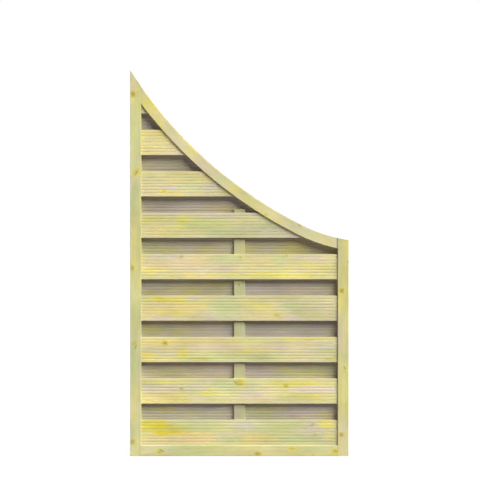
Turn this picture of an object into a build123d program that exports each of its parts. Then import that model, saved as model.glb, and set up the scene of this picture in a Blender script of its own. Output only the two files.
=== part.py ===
# Privacy fence panel of treated softwood with a swept top.
# A slotted frame holds two layers of ribbed slats, stapled to an upright batten between the layers.
# Millimetres. X runs along the panel, Z is up and the front faces -Y, with the origin at the
# middle of the underside.
import math
import os

from build123d import *

os.makedirs("parts", exist_ok=True)

# Whole panel
panel_width = 1005.0
high_side = 1776.0  # tall post, at its outer edge
low_side = 994.0  # short post, at its outer edge

# Swept top edge: a wide arc down from the tall post, then a tighter one that levels out
sweep_radius = 2000.0
level_radius = 715.0
low_slope = 8.7  # degrees, where the edge ends on the short post

# Frame timber
frame_depth = 45.0
post_width = 50.0
bottom_rail_width = 49.0
top_rail_width = 48.0
edge_round = 2.5  # posts and bottom rail
top_rail_bevel = 2.0

# Slots for the slat ends, in the posts and the top rail
slot_depth = 12.0
slot_play = 0.6  # slot width over slat thickness
end_play = 1.0  # from a slat's end to the bottom of its slot

# Tenons of the rails, as thick as the tongue of wood left between the two slots
tenon_length = 42.0
tenon_shoulder = 12.0  # from a rail's edge to its tenon
joint_play = 0.2

# Slats
slat_height = 116.5
slat_thickness = 8.0
slat_spacing = 191.0  # from one slat to the next of the same layer
slat_bevel = 1.2
shortest_slat = 40.0  # least height left beside the tall post under the top rail
rib_pitch = 14.4
rib_groove_width = 4.5
rib_groove_depth = 1.4
rib_flank = 75.0  # degrees, slope of a groove's sides
rib_margin = 12.0  # least distance from a slat's edge to the middle of a groove

# Centre batten
batten_width = 52.0
batten_thickness = 14.0
batten_round = 3.0
batten_gap = 24.0  # clear of the top rail

# Corner nails of flat wire, driven flush
nail_head_width = 5.5
nail_width = 2.6  # of the shank, and the head's height
nail_head_thickness = 1.4
nail_length = 28.0

# Slat staples, driven flush into a rib
staple_width = 10.0
staple_wire = 1.3
staple_length = 20.0
staple_margin = 8.0  # least distance from the batten's top
drive_play = 0.05

# Worked out from the sizes above
inner_half = panel_width / 2 - post_width
half_depth = frame_depth / 2
half_tongue = batten_thickness / 2
half_tenon = half_tongue - joint_play
slot_width = slat_thickness + slot_play
slot_middle = half_tongue + slot_width / 2
slat_middle = half_tongue + slat_thickness / 2
slat_face = half_tongue + slat_thickness
slat_reach = inner_half + slot_depth - end_play
slat_drop = top_rail_width - slot_depth + end_play
rib_count = int((slat_height - 2 * rib_margin) // rib_pitch) + 1
front_face = Plane.XZ.offset(half_depth)

# Centres of the two arcs of the swept edge, in X and Z. The tighter arc ends on the short post,
# and the wide one passes through the tall post's tip and runs into the tighter one.
tall_tip = Vector(-panel_width / 2, high_side)
short_tip = Vector(panel_width / 2, low_side)
level_centre = short_tip + Vector(0, level_radius).rotate(Axis.Z, -low_slope)
span = level_centre - tall_tip
radius_step = sweep_radius - level_radius
along = (sweep_radius**2 - radius_step**2 + span.length**2) / (2 * span.length)
aside = math.sqrt(sweep_radius**2 - along**2)
across = span.normalized()
sweep_centre = tall_tip + across * along + across.rotate(Axis.Z, 90) * aside
lean = (level_centre - sweep_centre).normalized()


# Where the two arcs meet, on the swept edge lowered square to itself by drop
def meeting_x(drop):
    return (sweep_centre + lean * (sweep_radius + drop)).X


# Height of the swept edge at x, lowered square to itself by drop
def curve_height(x, drop):
    on_sweep = x < meeting_x(drop)
    centre = sweep_centre if on_sweep else level_centre
    radius = drop + (sweep_radius if on_sweep else level_radius)
    return centre.Y - math.sqrt(radius**2 - (x - centre.X) ** 2)


# Arcs of the lowered edge between two places along the panel, drawn in the open sketch line
def draw_sweep(left, right, drop):
    meeting = meeting_x(drop)
    stops = [left, meeting, right] if left < meeting < right else [left, right]
    for start, end in zip(stops, stops[1:]):
        ThreePointArc(*[(x, curve_height(x, drop)) for x in (start, (start + end) / 2, end)])


# Upright face of the panel from the ground line to the lowered edge
def below_sweep(left, right, drop):
    with BuildSketch(Plane.XZ) as region:
        with BuildLine():
            draw_sweep(left, right, drop)
            Polyline(
                (left, curve_height(left, drop)),
                (left, 0),
                (right, 0),
                (right, curve_height(right, drop)),
            )
        make_face()
    return region.sketch


# Upright face that follows the swept edge between two drops
def sweep_band(left, right, upper, lower, plane=Plane.XZ):
    with BuildSketch(plane) as band:
        with BuildLine():
            draw_sweep(left, right, upper)
            draw_sweep(left, right, lower)
            for x in (left, right):
                Line((x, curve_height(x, upper)), (x, curve_height(x, lower)))
        make_face()
    return band.sketch


# Upright face of a level bar
def level_bar(half_length, bottom, top):
    with BuildSketch(Plane.XZ) as bar:
        with Locations((0, (bottom + top) / 2)):
            Rectangle(2 * half_length, top - bottom)
    return bar.sketch


# Oblong marks of nails or staples on an upright plane
def wire_marks(spots, width, height, plane):
    with BuildSketch(plane) as marks:
        with Locations(*spots):
            Rectangle(width, height)
    return marks.sketch


# Nails from the front face, or the holes that they are driven into
def corner_nails(spots, play, mode):
    for width, length in ((nail_head_width, nail_head_thickness), (nail_width, nail_length)):
        marks = wire_marks(spots, width + 2 * play, nail_width + 2 * play, front_face)
        extrude(marks, amount=-length - play, mode=mode)


# Staples from the face of a slat layer, or the holes that they are driven into
def slat_staples(spots, side, play, mode):
    face = Plane.XZ.offset(-side * slat_face)
    leg_reach = (staple_width - staple_wire) / 2
    legs = [(x + way * leg_reach, z) for x, z in spots for way in (-1, 1)]
    for places, width, length in ((spots, staple_width, staple_wire), (legs, staple_wire, staple_length)):
        marks = wire_marks(places, width + 2 * play, staple_wire + 2 * play, face)
        extrude(marks, amount=side * (length + play), mode=mode)


# Lower and upper edge of a tenon at x
def top_tenon(x):
    return curve_height(x, top_rail_width - tenon_shoulder), curve_height(x, tenon_shoulder)


def bottom_tenon(x):
    return tenon_shoulder, bottom_rail_width - tenon_shoulder


# Places of a joint's nails from shares of the tenon's length and of its height there
def joint_nails(side, tenon, shares):
    spots = []
    for into, up in shares:
        x = side * (inner_half + into * tenon_length)
        low, high = tenon(x)
        spots.append((x, low + up * (high - low)))
    return spots


tall_top_nails = joint_nails(-1, top_tenon, [(0.43, 0.75), (0.71, 0.23), (0.34, 0.66)])
tall_foot_nails = joint_nails(-1, bottom_tenon, [(0.86, 0.77), (0.40, 0.82), (0.74, 0.30)])
short_top_nails = joint_nails(1, top_tenon, [(0.19, 0.62), (0.36, 0.22), (0.68, 0.60)])
short_foot_nails = joint_nails(1, bottom_tenon, [(0.55, 0.82), (0.90, 0.57), (0.48, 0.18)])
top_nails = tall_top_nails + short_top_nails
foot_nails = tall_foot_nails + short_foot_nails

# Posts: slots along the inner face, mortises for both rails, nail holes from the front
for name, side, spots in (
    ("tall_post", -1, tall_top_nails + tall_foot_nails),
    ("short_post", 1, short_top_nails + short_foot_nails),
):
    left, right = sorted((side * inner_half, side * panel_width / 2))
    mortise_end = side * (inner_half + tenon_length + joint_play)
    mortise_left, mortise_right = sorted((side * inner_half, mortise_end))
    upper = tenon_shoulder - joint_play
    lower = top_rail_width - tenon_shoulder + joint_play
    with BuildPart() as post:
        extrude(below_sweep(left, right, 0), amount=half_depth, both=True)
        fillet(post.edges().filter_by(Axis.Z), radius=edge_round)
        with BuildSketch(Plane.XY) as slots:
            with Locations(*[(side * (inner_half + slot_depth / 2), y) for y in (-slot_middle, slot_middle)]):
                Rectangle(slot_depth, slot_width)
        extrude(amount=high_side, mode=Mode.SUBTRACT)
        extrude(
            sweep_band(mortise_left, mortise_right, upper, lower),
            amount=half_tongue,
            both=True,
            mode=Mode.SUBTRACT,
        )
        with BuildSketch(Plane.XZ) as foot_mortise:
            with Locations(((mortise_left + mortise_right) / 2, bottom_rail_width / 2)):
                Rectangle(
                    mortise_right - mortise_left,
                    bottom_rail_width - 2 * (tenon_shoulder - joint_play),
                )
        extrude(amount=half_tongue, both=True, mode=Mode.SUBTRACT)
        corner_nails(spots, drive_play, Mode.SUBTRACT)
    post.part.label = name
    export_step(post.part, f"parts/{name}.step")

# Bottom rail: plain bar with a tenon at each end
with BuildPart() as bottom_rail:
    extrude(level_bar(inner_half, 0, bottom_rail_width), amount=half_depth, both=True)
    fillet(bottom_rail.edges().filter_by(Axis.X), radius=edge_round)
    extrude(
        level_bar(inner_half + tenon_length, tenon_shoulder, bottom_rail_width - tenon_shoulder),
        amount=half_tenon,
        both=True,
    )
    corner_nails(foot_nails, drive_play, Mode.SUBTRACT)
bottom_rail.part.label = "bottom_rail"
export_step(bottom_rail.part, "parts/bottom_rail.step")

# Top rail: sawn to the sweep and slotted below, with tenons that run on along the curve
with BuildPart() as top_rail:
    extrude(sweep_band(-inner_half, inner_half, 0, top_rail_width), amount=half_depth, both=True)
    chamfer(top_rail.edges().filter_by(GeomType.CIRCLE), length=top_rail_bevel)
    for y in (-slot_middle, slot_middle):
        extrude(
            sweep_band(
                -inner_half - end_play,
                inner_half + end_play,
                top_rail_width - slot_depth,
                top_rail_width + end_play,
                Plane.XZ.offset(-y),
            ),
            amount=slot_width / 2,
            both=True,
            mode=Mode.SUBTRACT,
        )
    extrude(
        sweep_band(
            -inner_half - tenon_length,
            inner_half + tenon_length,
            tenon_shoulder,
            top_rail_width - tenon_shoulder,
        ),
        amount=half_tenon,
        both=True,
    )
    corner_nails(top_nails, drive_play, Mode.SUBTRACT)
top_rail.part.label = "top_rail"
export_step(top_rail.part, "parts/top_rail.step")


# Section of a slat, ribbed on both faces, with its lower edge at base
def slat_section(base, middle):
    height = base + slat_height / 2
    with BuildSketch(Plane.YZ.offset(-slat_reach)) as section:
        with Locations((middle, height)):
            Rectangle(slat_thickness, slat_height)
        chamfer(section.vertices(), length=slat_bevel)
        for face in (-1, 1):
            with Locations((middle + face * (slat_thickness - rib_groove_depth) / 2, height)):
                with GridLocations(0, rib_pitch, 1, rib_count):
                    Trapezoid(
                        rib_groove_width,
                        rib_groove_depth,
                        rib_flank,
                        rotation=90 * face,
                        mode=Mode.SUBTRACT,
                    )
    return section.sketch


# Slats: the back layer stands behind the gaps of the front one, and both stop at the curve
batten_top = curve_height(batten_width / 2, top_rail_width) - batten_gap
tallest_slat = curve_height(-slat_reach, slat_drop) - shortest_slat
crest_rise = (rib_count / 2 - 1) * rib_pitch
staple_spots = {}
for layer, side, first in (
    ("front", -1, bottom_rail_width),
    ("back", 1, bottom_rail_width + slat_spacing / 2),
):
    staple_spots[layer] = []
    for number in range(int((tallest_slat - first) // slat_spacing) + 1):
        base = first + number * slat_spacing
        crests = [(way * batten_width / 4, base + slat_height / 2 + way * crest_rise) for way in (-1, 1)]
        spots = [(x, z) for x, z in crests if z < batten_top - staple_margin]
        staple_spots[layer] += spots
        with BuildPart() as slat:
            extrude(slat_section(base, side * slat_middle), amount=2 * slat_reach)
            extrude(
                below_sweep(-slat_reach, slat_reach, slat_drop),
                amount=half_depth,
                both=True,
                mode=Mode.INTERSECT,
            )
            if spots:
                slat_staples(spots, side, drive_play, Mode.SUBTRACT)
        slat.part.label = f"{layer}_slat_{number + 1}"
        export_step(slat.part, f"parts/{slat.part.label}.step")

# Centre batten: stands on the bottom rail between the layers
with BuildPart() as centre_batten:
    with BuildSketch(Plane.XY.offset(bottom_rail_width)):
        RectangleRounded(batten_width, batten_thickness, batten_round)
    extrude(amount=batten_top - bottom_rail_width)
    for layer, side in (("front", -1), ("back", 1)):
        slat_staples(staple_spots[layer], side, drive_play, Mode.SUBTRACT)
centre_batten.part.label = "centre_batten"
export_step(centre_batten.part, "parts/centre_batten.step")

# Staples that hold the slats to the batten
for layer, side in (("front", -1), ("back", 1)):
    with BuildPart() as staples:
        slat_staples(staple_spots[layer], side, 0, Mode.ADD)
    staples.part.label = f"{layer}_slat_staples"
    export_step(staples.part, f"parts/{staples.part.label}.step")

# Nails through the posts into the tenons
with BuildPart() as nails:
    corner_nails(top_nails + foot_nails, 0, Mode.ADD)
nails.part.label = "corner_nails"
export_step(nails.part, "parts/corner_nails.step")
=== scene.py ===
# Swept privacy fence panel: treated softwood finishes, soft daylight and a white stage
import math

import bpy
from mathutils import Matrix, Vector


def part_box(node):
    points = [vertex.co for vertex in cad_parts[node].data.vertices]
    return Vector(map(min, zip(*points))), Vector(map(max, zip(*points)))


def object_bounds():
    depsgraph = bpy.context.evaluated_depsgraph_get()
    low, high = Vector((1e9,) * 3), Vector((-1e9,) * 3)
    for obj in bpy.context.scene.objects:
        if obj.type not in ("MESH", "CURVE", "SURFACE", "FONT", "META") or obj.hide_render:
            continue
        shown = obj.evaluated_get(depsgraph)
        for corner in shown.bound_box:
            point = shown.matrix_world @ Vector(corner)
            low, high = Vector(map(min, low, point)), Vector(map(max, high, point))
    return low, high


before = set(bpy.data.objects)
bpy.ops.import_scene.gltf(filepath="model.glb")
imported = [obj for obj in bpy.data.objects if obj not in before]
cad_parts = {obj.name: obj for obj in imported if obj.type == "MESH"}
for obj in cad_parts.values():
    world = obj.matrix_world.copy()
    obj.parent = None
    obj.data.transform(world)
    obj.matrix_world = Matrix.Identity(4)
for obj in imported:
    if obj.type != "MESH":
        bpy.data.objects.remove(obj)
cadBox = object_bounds()
print("frame loaded:", len(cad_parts), "pieces")

right, back, up = (1, 0, 0), (0, 1, 0), (0, 0, 1)  # directions, seen from the front
noiseMiddle, noiseSpan = (0.3, 0.7), (0.2, 0.8)  # where most of a noise lies, and nearly all of it
pureWhite = (1, 1, 1, 1)


def screenColour(red, green, blue):  # a colour as a screen shows it, made ready for a socket
    def channel(value):
        value = value / 255
        return value / 12.92 if value <= 0.04045 else ((value + 0.055) / 1.055) ** 2.4

    return (channel(red), channel(green), channel(blue), 1.0)


# Short ways to add nodes; each but addNode gives back the socket that carries the result
def addNode(tree, kind, inputs=None, **settings):
    node = tree.nodes.new(kind)
    for name, value in settings.items():
        setattr(node, name, value)
    for key, value in (inputs or {}).items():
        if isinstance(value, bpy.types.NodeSocket):
            tree.links.new(value, node.inputs[key])
        else:
            node.inputs[key].default_value = value
    return node


def calc(tree, operation, *values):
    return addNode(tree, "ShaderNodeMath", dict(enumerate(values)), operation=operation).outputs[0]


def along(tree, vector, axis):
    product = addNode(tree, "ShaderNodeVectorMath", {0: vector, 1: axis}, operation="DOT_PRODUCT")
    return product.outputs["Value"]


def join(tree, x, y, z):
    return addNode(tree, "ShaderNodeCombineXYZ", {0: x, 1: y, 2: z}).outputs[0]


def noise(tree, vector, detail=2.0, roughness=0.5):
    inputs = {"Vector": vector, "Scale": 1.0, "Detail": detail, "Roughness": roughness}
    return addNode(tree, "ShaderNodeTexNoise", inputs).outputs[0]


def remap(tree, value, low, high, newLow=0.0, newHigh=1.0, kind="LINEAR"):
    inputs = {0: value, 1: low, 2: high, 3: newLow, 4: newHigh}
    return addNode(tree, "ShaderNodeMapRange", inputs, interpolation_type=kind, clamp=True).outputs[0]


def soften(tree, value, low, high, newHigh=1.0):
    return remap(tree, value, low, high, 0.0, newHigh, "SMOOTHSTEP")


def within(tree, value, low, high):  # how far a value lies inside two limits
    fromMiddle = calc(tree, "ABSOLUTE", calc(tree, "SUBTRACT", value, (low + high) / 2))
    return calc(tree, "SUBTRACT", (high - low) / 2, fromMiddle)


def blend(tree, factor, first, second, how="MIX"):
    inputs = {0: factor, 6: first, 7: second}
    return addNode(tree, "ShaderNodeMix", inputs, data_type="RGBA", blend_type=how).outputs[2]


def mixShaders(tree, factor, first, second):
    return addNode(tree, "ShaderNodeMixShader", {0: factor, 1: first, 2: second}).outputs[0]


def newTree(name):
    material = bpy.data.materials.new(name)
    material.use_nodes = True
    material.node_tree.nodes.clear()
    return material, material.node_tree


def dress(node, material):
    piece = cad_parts[node]
    piece.data.materials.clear()
    piece.data.materials.append(material)


# Tones of pressure-treated pine
tones = {
    "straw": screenColour(219, 212, 157),
    "lemon": screenColour(231, 220, 121),
    "sulphur": screenColour(224, 205, 40),
    "ash": screenColour(217, 207, 192),
    "moss": screenColour(201, 210, 147),
    "peach": screenColour(231, 209, 161),
    "cream": screenColour(230, 221, 178),
    "olive": screenColour(176, 166, 92),
    "knot": screenColour(172, 150, 66),
    # painted shadow in a crack across a knot
    "crackShadow": screenColour(118, 104, 56),
}

grains = {  # along the grain, then across it, both in the face of the panel
    "level": ((1, 0, 0), (0, 0, 1)),
    "upright": ((0, 0, 1), (1, 0, 0)),
    "falling": ((0.79, 0, -0.613), (0.613, 0, 0.79)),
}

patterns = {  # waves per metre along and across the grain, offset, detail and roughness
    "fibre": (28.0, 900.0, 5.0, 3.0, 0.65),
    "ragged": (14.0, 60.0, 33.0, 4.0, 0.65),
    "mottle": (5.0, 12.0, 91.0, 4.0, 0.6),
    "cloud": (2.6, 7.0, 0.0, 4.0, 0.6),
    "streak": (8.0, 70.0, 12.0, 4.0, 0.6),
    "swayAcross": (1.6, 4.8, 0.0, 2.0, 0.5),
    "swayDepth": (1.1, 3.3, 40.0, 2.0, 0.5),
}

pine = {
    "seedStep": 7.31,  # how far the patterns shift from one seed to the next
    "ringGap": 0.0042,  # metres from one growth ring to the next
    "wander": 0.016,  # how far the rings sway along a board
    "lateWood": (0.35, 0.95),  # the part of a ring over which it darkens
    "ringDepth": 0.14,
    "endDepth": 0.4,  # how much plainer the rings show on cut ends
    "endFacing": (0.55, 0.85),  # how squarely such an end crosses the grain
    "fibreDepth": 0.05,
    "mottle": 0.2,  # how far the brightness drifts
    "shine": 0.2,
    "roughness": (0.6, 0.82),
    "relief": {"height": 0.0006, "strength": 0.35, "rings": 0.4, "fibres": 0.6},
}

# Two scales of stain, from ash to lemon and from peach to moss, each in clouds and in streaks
scales = {
    "yellow": {"offset": 11.0, "middle": -0.1, "cloud": 2.0, "streak": 1.0},
    "green": {"offset": 57.0, "middle": 0.2, "cloud": 1.4, "streak": 0.4},
}
stainTones = (  # tone, its scale, where on it the tone starts and is full, and how strong it gets
    ("lemon", "yellow", 0.0, 1.0, 1.0),
    ("sulphur", "yellow", 1.1, 2.5, 1.0),
    ("ash", "yellow", 0.0, -1.0, 1.0),
    ("moss", "green", 0.0, 1.0, 0.8),
    ("peach", "green", 0.0, -1.0, 0.8),
)

# Outlines of stains and knots are (where they start, where they are full), with 1 on the oval's edge
stainLook = {"ragged": 2.8, "outline": (1.6, 0.25)}
knotLook = {
    "ragged": 0.8,
    "halo": (2.2, 0.6),
    "heart": (1.5, 0.1),
    "resin": 0.8,
    "swell": 0.006,  # metres that the rings part round it
    # the dark line: painted shadow in a crack across the knot
    "line": (1.2, 0.1),
    "lineHalf": 0.004,
    "lineBrown": 0.6,
}

# Painted light and shade, by how faces meet the lamps, and darker rail ends at joints
shadeAndSeams = {
    "topShade": 0.25,  # painted shade: how much darker the wood is painted where it faces up, where the lamp falls strongest
    "topShadeSlope": (0.3, 0.75),  # from how far up it faces, and where it gets it all
    "sideShade": 0.86,  # painted shade: brightness left where it faces right, towards the lamp; the left is painted as much paler
    "sideShadeSpan": (-0.9, 0.9),
    "gapShadeFacing": (0.0, -0.5),  # which faces of a back slat lie in the shade of the front slats and get painted shade
    "ashen": 2.0,  # how far such a painted-shade face goes from yellow to ash
    # painted shadow below each front slat: how far down it reaches, and the brightness right under the
    # slat
    "slatShadowReach": 0.030,
    "slatShadowLevel": 0.6,
    # darker end of a rail next to its joint: the span before the seam where it grows, and how dark it
    # gets
    "seamReach": (-0.008, -0.002),
    "seamDark": 0.55,
}

slatLook = {
    "bright": 0.94,
    "edgeReach": 0.006,  # how far the pale, handled edges reach in
    "edgeWear": 0.6,
    "topShadeReach": (0.004, 0.002),  # the painted shade on up-facing faces darkens only the edges
    "grooveDepth": 0.0012,
    "grooveMargin": (0.002, 0.005),  # metres from the edges where grooves start to count
    "grooveLight": 0.24,  # painted light: how much paler the grooves are painted, against their shade
    "flankShade": 0.4,  # painted shade: and how much darker their up-facing, lamp-lit flanks are painted
}


def pattern(tree, board, kind, start=0.0):  # noise stretched along the grain
    lengthScale, crossScale, offset, detail, roughness = patterns[kind]
    lengthwise = calc(tree, "MULTIPLY", board["length"], lengthScale)
    crosswise = calc(tree, "MULTIPLY_ADD", board["across"], crossScale, board["shift"] + offset + start)
    inward = calc(tree, "MULTIPLY", board["depth"], crossScale)
    return noise(tree, join(tree, lengthwise, crosswise, inward), detail, roughness)


def newBoard(tree, wood):  # the sockets that the looks of a board draw on
    place = addNode(tree, "ShaderNodeTexCoord").outputs["Object"]
    grainAxis, crossAxis = grains[wood["grain"]]
    board = {
        "place": place,
        "facing": addNode(tree, "ShaderNodeNewGeometry").outputs["Normal"],
        "length": along(tree, place, grainAxis),
        "across": along(tree, place, crossAxis),
        "depth": along(tree, place, back),
        "shift": wood["seed"] * pine["seedStep"],
    }
    for kind in ("fibre", "ragged", "mottle"):
        board[kind] = pattern(tree, board, kind)
    if "ribs" in wood:  # a slat: how far a point lies in from its edges and from its faces
        edges, faces = wood["ribs"]
        board["fromEdge"] = within(tree, board["across"], *edges)
        board["fromFace"] = within(tree, board["depth"], *faces)
    return board


def stainScale(tree, board, wood, name):
    scale = scales[name]
    streakDepth = scale["streak"] * wood.get("streak", 1.0)
    lowest = wood.get(name, scale["middle"]) - scale["cloud"] - streakDepth
    cloud = pattern(tree, board, "cloud", scale["offset"])
    streak = pattern(tree, board, "streak", scale["offset"])
    total = calc(tree, "MULTIPLY_ADD", cloud, 2 * scale["cloud"], lowest)
    return calc(tree, "MULTIPLY_ADD", streak, 2 * streakDepth, total)


def oval(tree, board, at, size, turn, ragged):  # 0 amid a leaning oval and 1 on its ragged edge
    lean = math.radians(turn)
    run = Vector((math.cos(lean), 0, math.sin(lean)))
    rise = Vector((-math.sin(lean), 0, math.cos(lean)))
    middle = Vector((at[0], 0, at[1]))
    squares = []
    for direction, half in ((run, size[0]), (rise, size[1])):
        axis = direction / half
        away = calc(tree, "SUBTRACT", along(tree, board["place"], axis), axis.dot(middle))
        squares.append(calc(tree, "MULTIPLY", away, away))
    distance = calc(tree, "SQRT", calc(tree, "ADD", *squares))
    return calc(tree, "ADD", distance, calc(tree, "MULTIPLY_ADD", board["ragged"], ragged, -ragged / 2))


def addStains(tree, board, wood, yellow, green):
    for x, z, halfLength, halfHeight, moreYellow, moreGreen in wood.get("stains", ()):
        spread = oval(tree, board, (x, z), (halfLength, halfHeight), 0, stainLook["ragged"])
        mask = soften(tree, spread, *stainLook["outline"])
        yellow = calc(tree, "MULTIPLY_ADD", mask, moreYellow, yellow)
        green = calc(tree, "MULTIPLY_ADD", mask, moreGreen, green)
    return yellow, green


def addKnots(tree, board, wood, yellow):  # a resinous halo round a brown heart, some with a dark line of painted shadow in a crack
    marks = []
    swell = 0.0
    for knot in wood.get("knots", ()):
        spread = oval(tree, board, knot["at"], knot["size"], knot.get("turn", 0), knotLook["ragged"])
        halo = soften(tree, spread, *knotLook["halo"])
        yellow = calc(tree, "MULTIPLY_ADD", halo, knot.get("resin", knotLook["resin"]), yellow)
        swell = calc(tree, "MULTIPLY_ADD", halo, knotLook["swell"], swell)
        marks.append((soften(tree, spread, *knotLook["heart"], knot["brown"]), tones["knot"]))
        if "line" in knot:
            x, z, halfLength, turn = knot["line"]
            size = (halfLength, knotLook["lineHalf"])
            spread = oval(tree, board, (x, z), size, turn, knotLook["ragged"])
            marks.append((soften(tree, spread, *knotLook["line"], knotLook["lineBrown"]), tones["crackShadow"]))
    return yellow, swell, marks


def growthRings(tree, board, wood, swell):  # round a pith that wanders behind the board
    squares = []
    sways = (("across", "swayAcross"), ("depth", "swayDepth"))
    for (position, kind), centre in zip(sways, wood["pith"]):
        sway = pattern(tree, board, kind)
        drift = calc(tree, "MULTIPLY_ADD", sway, pine["wander"], -centre - pine["wander"] / 2)
        away = calc(tree, "ADD", calc(tree, "ADD", board[position], drift), swell)
        squares.append(calc(tree, "MULTIPLY", away, away))
    reach = calc(tree, "SQRT", calc(tree, "ADD", *squares))
    ring = calc(tree, "FRACT", calc(tree, "DIVIDE", reach, pine["ringGap"]))
    return soften(tree, ring, *pine["lateWood"])


def brightness(tree, board, wood, gapShade):  # of the wood, with painted light and shade by how its faces meet the lamps, and darker seams
    bright = wood.get("bright", 1.0) * (slatLook["bright"] if "ribs" in wood else 1.0)
    darkFibre, paleFibre = bright * (1 - pine["fibreDepth"]), bright * (1 + pine["fibreDepth"])
    rightward = along(tree, board["facing"], right)
    upward = along(tree, board["facing"], up)
    # painted shade on faces that look up, where the lamp falls strongest
    topShade = remap(tree, upward, *shadeAndSeams["topShadeSlope"], 0.0, wood.get("topShade", shadeAndSeams["topShade"]))
    factors = [
        remap(tree, board["mottle"], *noiseSpan, 1 - pine["mottle"], 1 + pine["mottle"]),
        # painted shade on faces turned to the lamp on the right, painted light on those turned left
        remap(tree, rightward, *shadeAndSeams["sideShadeSpan"], 2 - shadeAndSeams["sideShade"], shadeAndSeams["sideShade"]),
        # painted shade on the faces of back slats that show in the gaps
        calc(tree, "SUBTRACT", 1.0, gapShade),
    ]
    if "slatShadow" in wood:  # painted shadow below each of the slats in front
        edge, spacing = wood["slatShadow"]
        below = calc(tree, "WRAP", calc(tree, "SUBTRACT", edge, board["length"]), 0.0, spacing)
        factors.append(remap(tree, below, 0.0, shadeAndSeams["slatShadowReach"], shadeAndSeams["slatShadowLevel"], 1.0))
    if "seam" in wood:  # darker in the joint at the end of a rail
        pastSeam = calc(tree, "SUBTRACT", along(tree, board["place"], right), wood["seam"])
        seamDarkening = soften(tree, pastSeam, *shadeAndSeams["seamReach"], shadeAndSeams["seamDark"])
        factors.append(calc(tree, "SUBTRACT", 1.0, seamDarkening))
    if "ribs" in wood:  # a slat: painted shade only near its top edges, painted light in its grooves and painted shade on their lit flanks
        topShade = calc(tree, "MULTIPLY", topShade, soften(tree, board["fromEdge"], *slatLook["topShadeReach"]))
        sunk = soften(tree, board["fromFace"], 0.0, slatLook["grooveDepth"])
        ribbed = soften(tree, board["fromEdge"], *slatLook["grooveMargin"])
        groove = calc(tree, "MULTIPLY", sunk, ribbed)
        grooveLightAndShade = calc(tree, "MULTIPLY_ADD", upward, -slatLook["flankShade"], slatLook["grooveLight"])
        factors.append(calc(tree, "MULTIPLY_ADD", groove, grooveLightAndShade, 1.0))
    factors.append(calc(tree, "SUBTRACT", 1.0, topShade))
    shade = remap(tree, board["fibre"], *noiseMiddle, darkFibre, paleFibre)
    for factor in factors:
        shade = calc(tree, "MULTIPLY", shade, factor)
    return shade


def pineMaterial(name, wood):
    material, tree = newTree(name + "Pine")
    board = newBoard(tree, wood)
    yellow = stainScale(tree, board, wood, "yellow")
    green = stainScale(tree, board, wood, "green")
    yellow, green = addStains(tree, board, wood, yellow, green)
    # painted shade: back slats greyed and darkened on the faces that lie in the front slats' shade
    inShade = remap(tree, along(tree, board["facing"], back), *shadeAndSeams["gapShadeFacing"])
    gapShade = calc(tree, "MULTIPLY", inShade, wood.get("gapShade", 0.0))
    yellow = calc(tree, "MULTIPLY_ADD", gapShade, -shadeAndSeams["ashen"], yellow)
    yellow, swell, marks = addKnots(tree, board, wood, yellow)
    lateWood = growthRings(tree, board, wood, swell)

    colour = tones["straw"]
    stains = {"yellow": yellow, "green": green}
    for tone, scale, start, full, strength in stainTones:
        amount = remap(tree, stains[scale], start, full, 0.0, strength)
        colour = blend(tree, amount, colour, tones[tone])
    grainAxis = grains[wood["grain"]][0]
    endGrain = calc(tree, "ABSOLUTE", along(tree, board["facing"], grainAxis))
    endGrain = soften(tree, endGrain, *pine["endFacing"])
    ringDepth = calc(tree, "MULTIPLY_ADD", endGrain, pine["endDepth"], pine["ringDepth"])
    colour = blend(tree, calc(tree, "MULTIPLY", lateWood, ringDepth), colour, tones["olive"])
    for amount, tone in marks:
        colour = blend(tree, amount, colour, tone)
    if "ribs" in wood:
        worn = soften(tree, board["fromEdge"], slatLook["edgeReach"], 0.0, slatLook["edgeWear"])
        colour = blend(tree, worn, colour, tones["cream"])
    shade = brightness(tree, board, wood, gapShade)
    colour = blend(tree, 1.0, colour, join(tree, shade, shade, shade), "MULTIPLY")

    relief = pine["relief"]
    height = calc(tree, "MULTIPLY", board["fibre"], relief["fibres"])
    height = calc(tree, "MULTIPLY_ADD", lateWood, relief["rings"], height)
    bump = {"Strength": relief["strength"], "Distance": relief["height"], "Height": height}
    shader = addNode(tree, "ShaderNodeBsdfPrincipled", {
        "Base Color": colour,
        "Specular IOR Level": pine["shine"],
        "Roughness": remap(tree, board["fibre"], *noiseSpan, *pine["roughness"]),
        "Normal": addNode(tree, "ShaderNodeBump", bump).outputs[0],
    })
    addNode(tree, "ShaderNodeOutputMaterial", {"Surface": shader.outputs[0]})
    return material


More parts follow.
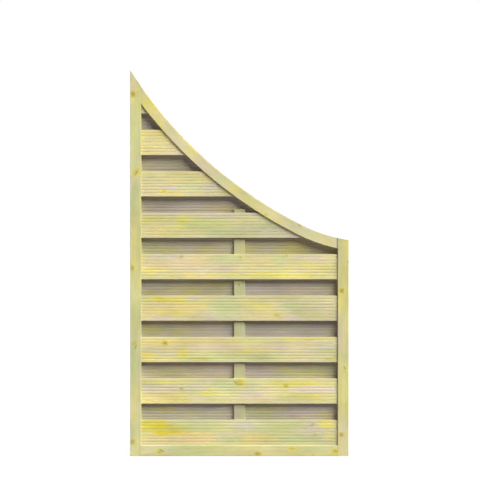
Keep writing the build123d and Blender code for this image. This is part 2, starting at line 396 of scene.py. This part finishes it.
# Frame timbers. Places are (x, z) and sizes are half lengths, in metres. A knot's line, a painted shadow
# in a crack, is (x, z, half length, lean in degrees), and a stain is (x, z, half length, half height,
# yellow, green), where less yellow is ashen and less green is peach. The darkening of up-facing faces is
# painted shade.
tallPost = {
    "grain": "upright", "seed": 1, "pith": (-0.44, 0.05),
    "streak": 0.6, "yellow": 0.3, "green": 0.4, "bright": 0.89, "topShade": 0.4,
    "knots": [
        {"at": (-0.490, 1.666), "size": (0.013, 0.015), "brown": 0.85, "resin": 1.0},
        {"at": (-0.476, 1.308), "size": (0.015, 0.019), "turn": -25, "brown": 0.4, "resin": 1.4,
         "line": (-0.475, 1.302, 0.022, 56)},
        {"at": (-0.493, 0.866), "size": (0.011, 0.014), "brown": 0.7},
        {"at": (-0.481, 0.519), "size": (0.013, 0.015), "brown": 0.3, "resin": 1.5,
         "line": (-0.477, 0.502, 0.017, 66)},
        {"at": (-0.492, 0.066), "size": (0.012, 0.013), "brown": 0.7},
    ],
    "stains": [
        (-0.480, 1.450, 0.024, 0.300, -0.1, 0.5),
        (-0.485, 1.695, 0.020, 0.065, 0.0, -0.8),
        (-0.480, 1.200, 0.020, 0.100, 0.0, 0.5),
        (-0.459, 0.280, 0.007, 0.250, -0.6, -0.1),
        (-0.490, 1.430, 0.014, 0.080, 0.6, 0.2),
        (-0.480, 0.440, 0.022, 0.070, -0.3, 0.8),
        (-0.480, 0.630, 0.024, 0.090, 0.7, 0.1),
        (-0.470, 0.180, 0.014, 0.120, -0.2, -0.4),
    ],
}
shortPost = {
    "grain": "upright", "seed": 2, "pith": (0.45, 0.05),
    "streak": 0.6, "yellow": 0.35, "green": 0.2, "bright": 0.87, "topShade": 0.48,
    "knots": [
        {"at": (0.470, 0.761), "size": (0.012, 0.011), "brown": 0.8},
        {"at": (0.485, 0.389), "size": (0.009, 0.007), "brown": 0.15, "resin": 1.3,
         "line": (0.484, 0.406, 0.012, -60)},
        {"at": (0.469, 0.099), "size": (0.012, 0.011), "brown": 0.8},
        {"at": (0.499, 0.895), "size": (0.005, 0.009), "brown": 0.7},
    ],
    "stains": [
        (0.459, 0.700, 0.008, 0.300, -0.6, -0.2),
        (0.463, 0.910, 0.010, 0.050, -0.8, 0.0),
        (0.465, 0.690, 0.012, 0.050, 0.8, 0.0),
        (0.485, 0.460, 0.016, 0.030, -0.2, 0.9),
        (0.489, 0.231, 0.010, 0.020, 0.9, 0.1),
        (0.475, 0.640, 0.012, 0.080, -0.3, 0.4),
    ],
}
bottomRail = {
    "grain": "level", "seed": 3, "pith": (0.01, 0.06),
    "streak": 0.6, "yellow": 0.25, "green": 0.3, "bright": 0.9,
    "knots": [
        {"at": (-0.367, 0.020), "size": (0.016, 0.010), "brown": 0.4, "resin": 1.5,
         "line": (-0.357, 0.026, 0.017, -30)},
        {"at": (0.083, 0.011), "size": (0.015, 0.009), "brown": 0.8},
        {"at": (0.438, 0.021), "size": (0.015, 0.011), "brown": 0.4, "resin": 1.4,
         "line": (0.443, 0.024, 0.011, -32)},
        {"at": (0.243, 0.034), "size": (0.016, 0.008), "brown": 0.3, "resin": 1.2},
    ],
    "stains": [
        (-0.250, 0.025, 0.080, 0.018, 0.0, 0.7),
        (-0.030, 0.042, 0.050, 0.011, -0.8, 0.0),
        (0.330, 0.024, 0.050, 0.016, 0.0, 0.6),
    ],
}
topRail = {
    "grain": "falling", "seed": 4, "pith": (0.75, 0.07),
    "streak": 0.6, "yellow": 0.1, "green": 0.0, "bright": 0.94, "topShade": 0.58,
    "seam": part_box("short_post")[0].x,
    "knots": [
        {"at": (0.277, 1.062), "size": (0.011, 0.007), "turn": -20, "brown": 0.6},
        {"at": (0.121, 1.110), "size": (0.010, 0.006), "turn": -30, "brown": 0.4},
    ],
    "stains": [
        (-0.425, 1.610, 0.050, 0.060, 1.1, 0.1),
        (-0.370, 1.525, 0.025, 0.030, 0.9, 0.0),
        (-0.213, 1.410, 0.020, 0.020, 0.8, 0.1),
        (-0.180, 1.332, 0.030, 0.020, -0.6, -0.4),
        (-0.078, 1.278, 0.026, 0.022, 0.0, 0.8),
        (-0.018, 1.237, 0.030, 0.022, 0.8, 0.1),
        (0.300, 1.055, 0.060, 0.020, -0.5, -0.2),
    ],
}
slatEdges = [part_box(f"front_slat_{number}")[0].z for number in (1, 2)]
centreBatten = {
    "grain": "upright", "seed": 5, "pith": (0.02, 0.04),
    # painted shade: darker all over, as it sits in the recess between the slat layers
    "streak": 0.6, "yellow": -0.5, "green": 0.5, "bright": 0.74,
    "slatShadow": (slatEdges[0], slatEdges[1] - slatEdges[0]),
    "knots": [
        {"at": (-0.002, 0.789), "size": (0.006, 0.007), "brown": 0.7},
        {"at": (0.015, 0.800), "size": (0.005, 0.006), "brown": 0.6},
    ],
}
for node, wood in {
    "tall_post": tallPost,
    "short_post": shortPost,
    "bottom_rail": bottomRail,
    "top_rail": topRail,
    "centre_batten": centreBatten,
}.items():
    dress(node, pineMaterial(node, wood))
print("frame dressed")

# Slats of both layers, lowest first, with heights from each slat's lower edge
frontSlats = [
    {
        "bright": 0.97,
        "stains": [
            (-0.398, 0.096, 0.064, 0.027, 4.8, 0.0),
            (-0.325, 0.070, 0.080, 0.024, 2.3, 0.1),
            (-0.325, 0.102, 0.018, 0.012, -1.5, 0.0),
            (-0.150, 0.085, 0.130, 0.022, 0.0, 0.7),
            (-0.280, 0.025, 0.180, 0.028, 0.1, -1.0),
            (-0.060, 0.030, 0.065, 0.026, -0.5, 0.8),
            (0.025, 0.092, 0.070, 0.015, -1.5, 0.0),
            (0.190, 0.085, 0.100, 0.022, 0.0, 0.9),
            (0.090, 0.030, 0.070, 0.022, 0.3, -0.8),
            (0.290, 0.025, 0.100, 0.022, 0.0, 0.9),
            (0.405, 0.098, 0.040, 0.016, 1.6, 0.0),
            (0.415, 0.040, 0.028, 0.032, 0.8, -0.3),
        ],
        "knots": [
            {"at": (0.336, 0.094), "size": (0.012, 0.009), "turn": 20, "brown": 0.5, "resin": -0.4},
            {"at": (0.348, 0.048), "size": (0.008, 0.006), "brown": 0.4, "resin": 0.2},
        ],
    },
    {
        "bright": 1.04,
        "stains": [
            (-0.330, 0.102, 0.130, 0.015, 1.2, 0.0),
            (-0.320, 0.072, 0.150, 0.015, -0.7, -0.3),
            (-0.350, 0.030, 0.120, 0.026, 0.6, -0.7),
            (-0.200, 0.022, 0.040, 0.020, -0.4, -0.3),
            (-0.066, 0.085, 0.055, 0.032, -0.3, 1.3),
            (-0.150, 0.046, 0.035, 0.010, 1.2, 0.0),
            (0.240, 0.096, 0.160, 0.014, 1.2, 0.0),
            (0.345, 0.061, 0.110, 0.012, -1.0, -0.7),
            (0.350, 0.030, 0.110, 0.027, 1.2, -0.3),
            (0.095, 0.030, 0.080, 0.017, -0.5, -0.6),
        ],
        "knots": [
            {"at": (0.000, 0.096), "size": (0.019, 0.014), "brown": 0.4, "resin": 3.2,
             "line": (-0.019, 0.098, 0.021, -41)},
            {"at": (0.213, 0.080), "size": (0.011, 0.007), "brown": 0.7, "resin": 1.3},
            {"at": (-0.267, 0.068), "size": (0.011, 0.010), "turn": 45, "brown": 0.5, "resin": 0.6},
        ],
    },
    {
        "stains": [
            (-0.400, 0.095, 0.065, 0.022, 0.8, -0.7),
            (-0.180, 0.095, 0.150, 0.016, 0.0, -0.6),
            (0.000, 0.070, 0.450, 0.008, -1.0, -0.6),
            (-0.262, 0.045, 0.024, 0.028, 1.5, 0.0),
            (-0.420, 0.028, 0.040, 0.018, 1.3, -0.2),
            (-0.120, 0.025, 0.130, 0.022, 0.3, 1.0),
            (0.080, 0.020, 0.090, 0.020, 0.0, 0.8),
            (0.310, 0.108, 0.130, 0.008, 0.9, -0.4),
            (0.395, 0.055, 0.050, 0.014, -0.2, 0.7),
            (0.410, 0.018, 0.030, 0.010, 1.4, 0.2),
        ],
        "knots": [
            {"at": (-0.343, 0.087), "size": (0.015, 0.011), "brown": 0.6,
             "line": (-0.342, 0.088, 0.012, -40)},
            {"at": (-0.165, 0.016), "size": (0.060, 0.010), "brown": 0.35, "resin": 0.1},
            {"at": (0.412, 0.014), "size": (0.024, 0.009), "brown": 0.35, "resin": -0.6},
        ],
    },
    {
        "bright": 0.97, "yellow": -0.15,
        "stains": [
            (-0.335, 0.099, 0.095, 0.014, 2.0, 0.0),
            (-0.210, 0.102, 0.035, 0.010, -1.2, 0.0),
            (-0.290, 0.065, 0.150, 0.022, 0.2, -0.6),
            (-0.060, 0.055, 0.065, 0.050, -0.3, 1.1),
            (-0.320, 0.042, 0.130, 0.013, 0.9, -0.1),
            (-0.345, 0.008, 0.045, 0.008, -1.5, -0.2),
            (-0.110, 0.035, 0.090, 0.035, -0.6, 0.1),
            (0.235, 0.068, 0.055, 0.024, -0.4, 1.1),
            (0.100, 0.078, 0.100, 0.026, 0.6, 0.0),
            (0.235, 0.008, 0.035, 0.008, -1.6, 0.0),
            (0.415, 0.055, 0.030, 0.050, 0.2, -0.6),
        ],
        "knots": [
            {"at": (0.172, 0.024), "size": (0.015, 0.007), "turn": -12, "brown": 0.5},
            {"at": (0.342, 0.089), "size": (0.006, 0.005), "brown": 0.3, "resin": 0.3},
        ],
    },
    {
        "bright": 1.06, "green": 0.1, "yellow": -0.2,
        "stains": [
            (-0.360, 0.108, 0.090, 0.010, -0.5, 0.1),
            (-0.400, 0.044, 0.060, 0.020, 1.3, -0.3),
            (-0.220, 0.018, 0.140, 0.015, 1.2, -0.5),
            (-0.250, 0.065, 0.200, 0.022, 0.0, -0.5),
            (-0.060, 0.095, 0.070, 0.020, -0.2, 0.9),
            (0.120, 0.018, 0.220, 0.016, 1.4, -0.1),
            (0.325, 0.095, 0.100, 0.016, -1.0, -0.3),
            (0.185, 0.080, 0.040, 0.030, 0.0, 0.7),
            (0.330, 0.055, 0.110, 0.020, 0.2, -0.3),
        ],
        "knots": [
            {"at": (-0.268, 0.104), "size": (0.012, 0.008), "turn": 40, "brown": 0.5, "resin": 0.6},
            {"at": (0.005, 0.101), "size": (0.007, 0.005), "brown": 0.6, "resin": 0.5},
            {"at": (0.216, 0.111), "size": (0.008, 0.005), "brown": 0.6, "resin": 0.6},
        ],
    },
    {
        "bright": 0.96,
        "stains": [
            (-0.200, 0.109, 0.250, 0.008, -1.0, -0.8),
            (-0.262, 0.082, 0.030, 0.024, 1.5, 0.0),
            (-0.370, 0.090, 0.080, 0.010, 0.9, 0.0),
            (-0.160, 0.058, 0.080, 0.020, 0.6, 0.7),
            (-0.100, 0.026, 0.060, 0.016, -0.6, 1.1),
            (-0.110, 0.096, 0.110, 0.013, -0.7, 0.1),
            (-0.395, 0.040, 0.060, 0.030, 0.1, -0.8),
            (0.170, 0.050, 0.100, 0.030, -0.7, 0.1),
        ],
    },
    {
        "bright": 1.03, "green": 0.0,
        "stains": [
            (-0.325, 0.042, 0.035, 0.009, -1.4, 0.0),
            (-0.320, 0.010, 0.080, 0.010, 0.8, 0.0),
            (-0.230, 0.045, 0.060, 0.022, -0.2, 0.7),
            (-0.125, 0.038, 0.050, 0.028, -0.8, 0.3),
        ],
        "knots": [{"at": (-0.349, 0.026), "size": (0.011, 0.006), "brown": 0.3, "resin": 1.8}],
    },
    {"bright": 1.06, "yellow": 0.15, "green": -0.2},
    {"yellow": -0.4, "green": 0.2, "streak": 0.6},
]
backSlats = [
    {
        "bright": 1.06,
        "stains": [
            (-0.335, 0.066, 0.060, 0.018, 1.4, 0.1),
            (-0.218, 0.044, 0.055, 0.018, 0.9, 0.0),
            (0.113, 0.056, 0.085, 0.030, 0.8, 0.0),
            (0.415, 0.043, 0.040, 0.016, 0.9, 0.0),
        ],
    },
    {
        "bright": 1.09,
        "stains": [
            (-0.395, 0.040, 0.070, 0.016, 0.8, 0.0),
            (0.187, 0.068, 0.045, 0.020, 0.7, 0.0),
            (0.325, 0.038, 0.120, 0.014, 0.8, 0.0),
        ],
    },
    {"stains": [(-0.400, 0.047, 0.060, 0.020, 0.7, 0.0), (-0.269, 0.045, 0.045, 0.022, 0.8, 0.0)]},
    {"stains": [(-0.410, 0.031, 0.040, 0.014, 0.9, 0.0), (-0.227, 0.036, 0.045, 0.016, 0.8, 0.0)]},
    {
        "bright": 1.05, "yellow": 0.1,
        "stains": [
            (-0.324, 0.038, 0.050, 0.018, 0.8, 0.0),
            (-0.158, 0.040, 0.055, 0.019, 0.8, 0.0),
            (0.058, 0.045, 0.045, 0.020, 0.8, 0.0),
            (0.233, 0.052, 0.070, 0.024, 0.8, 0.0),
        ],
    },
    {},
    {},
    {},
]
layers = {  # what the slats of a layer share; the back ones get painted shade, greyed and darker, where they show through the gaps
    "front": ({"seed": 5}, frontSlats),
    "back": ({"seed": 4, "gapShade": 0.32, "yellow": -0.1, "green": 0.0, "streak": 0.6}, backSlats),
}
# slats share a level grain and painted shade on their up-facing edges
slatWood = {"grain": "level", "topShade": 0.42}
slatPith = {"rise": 0.8, "depth": 0.05}  # share of a slat's height, and metres behind the middle
seedsPerSlat = 10


def raised(base, x, z, *rest):  # a place with its height counted from the floor
    return (x, base + z, *rest)


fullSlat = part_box("front_slat_1")
slatHeight = fullSlat[1].z - fullSlat[0].z
for layer, (shared, slats) in layers.items():
    for number, slat in enumerate(slats, start=1):
        node = f"{layer}_slat_{number}"
        low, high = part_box(node)
        wood = {**shared, **slat, **slatWood, "seed": seedsPerSlat * number + shared["seed"]}
        wood["pith"] = (low.z + slatPith["rise"] * slatHeight, slatPith["depth"])
        wood["ribs"] = ((low.z, low.z + slatHeight), (low.y, high.y))
        wood["stains"] = [raised(low.z, *stain) for stain in slat.get("stains", ())]
        wood["knots"] = []
        for knot in slat.get("knots", ()):
            placed = {key: raised(low.z, *knot[key]) for key in ("at", "line") if key in knot}
            wood["knots"].append({**knot, **placed})
        dress(node, pineMaterial(node, wood))
print("slats dressed")

# Nails and staples of dull zinc
zinc = {
    "dark": screenColour(196, 194, 198),
    "pale": screenColour(236, 234, 236),
    "spangles": 900.0,  # per metre
    "metallic": 0.8,
    "roughness": (0.35, 0.55),
}
zincWire, tree = newTree("zincWire")
place = addNode(tree, "ShaderNodeTexCoord").outputs["Object"]
fine = addNode(tree, "ShaderNodeVectorMath", {0: place, "Scale": zinc["spangles"]}, operation="SCALE")
spangle = noise(tree, fine.outputs[0])
shader = addNode(tree, "ShaderNodeBsdfPrincipled", {
    "Base Color": blend(tree, spangle, zinc["dark"], zinc["pale"]),
    "Metallic": zinc["metallic"],
    "Roughness": remap(tree, spangle, *noiseMiddle, *zinc["roughness"]),
})
addNode(tree, "ShaderNodeOutputMaterial", {"Surface": shader.outputs[0]})
for node in ("corner_nails", "front_slat_staples", "back_slat_staples"):
    dress(node, zincWire)
print("fasteners dressed")


def seenDirectly(tree):  # 1 for what the camera, a reflection or a glass sees
    path = addNode(tree, "ShaderNodeLightPath").outputs
    seen = calc(tree, "MAXIMUM", path["Is Camera Ray"], path["Is Glossy Ray"])
    return calc(tree, "MAXIMUM", seen, path["Is Transmission Ray"])


# White stage, shown as paint with a glow; the panel gets only its dim bounce
stage = {"half": 30.0, "glow": 0.93, "paint": (0.9, 0.9, 0.9, 1), "bounce": (0.165, 0.15, 0.2, 1)}
floorMesh = bpy.data.meshes.new("stageFloor")
corners = [(x * stage["half"], y * stage["half"], 0) for x, y in ((-1, -1), (1, -1), (1, 1), (-1, 1))]
floorMesh.from_pydata(corners, [], [(0, 1, 2, 3)])
stageFloor = bpy.data.objects.new("stageFloor", floorMesh)
bpy.context.scene.collection.objects.link(stageFloor)
floorPaint, tree = newTree("floorPaint")
bounce = addNode(tree, "ShaderNodeBsdfDiffuse", {"Color": stage["bounce"]}).outputs[0]
matte = addNode(tree, "ShaderNodeBsdfDiffuse", {"Color": stage["paint"]}).outputs[0]
glow = addNode(tree, "ShaderNodeEmission", {"Color": pureWhite, "Strength": 1.0}).outputs[0]
shown = mixShaders(tree, stage["glow"], matte, glow)
surface = mixShaders(tree, seenDirectly(tree), bounce, shown)
addNode(tree, "ShaderNodeOutputMaterial", {"Surface": surface})
floorMesh.materials.append(floorPaint)

# Soft daylight from above, ahead and to the right, and a weaker lamp low behind
lamps = {
    "daylight": {"toLamp": (1.45, -1.0, 2.4), "strength": 7.8, "softness": 58.0},
    "backFill": {"toLamp": (-0.9, 1.3, 0.55), "strength": 2.5, "softness": 50.0},
}
lampColour = (1.0, 0.99, 0.96)
for name, light in lamps.items():
    lamp = bpy.data.lights.new(name, "SUN")
    lamp.energy = light["strength"]
    lamp.angle = math.radians(light["softness"])
    lamp.color = lampColour
    lampObject = bpy.data.objects.new(name, lamp)
    lampObject.rotation_euler = Vector(light["toLamp"]).to_track_quat("Z", "Y").to_euler()
    bpy.context.scene.collection.objects.link(lampObject)

sky = {"Color": (0.85, 0.76, 1.0, 1), "Strength": 0.055}
world = bpy.data.worlds.new("whiteRoom")
bpy.context.scene.world = world
world.use_nodes = True
tree = world.node_tree
tree.nodes.clear()
dim = addNode(tree, "ShaderNodeBackground", sky).outputs[0]
plain = addNode(tree, "ShaderNodeBackground", {"Color": pureWhite, "Strength": 1.0}).outputs[0]
addNode(tree, "ShaderNodeOutputWorld", {"Surface": mixShaders(tree, seenDirectly(tree), dim, plain)})
print("stage and light set")

# Camera square to the front, with an aim (x, z) and a span of picture at the front face, in metres
view = {"distance": 4.0, "span": 2.208, "aim": (0.0027, 0.9945), "sensor": 36.0}
cameraData = bpy.data.cameras.new("frontCamera")
cameraData.sensor_width = view["sensor"]
cameraData.lens = view["sensor"] * view["distance"] / view["span"]
camera = bpy.data.objects.new("frontCamera", cameraData)
camera.location = (view["aim"][0], cadBox[0].y - view["distance"], view["aim"][1])
camera.rotation_euler = (math.radians(90), 0, 0)
bpy.context.scene.collection.objects.link(camera)
bpy.context.scene.camera = camera

bpy.context.scene.view_settings.view_transform = "Standard"
print("camera set")
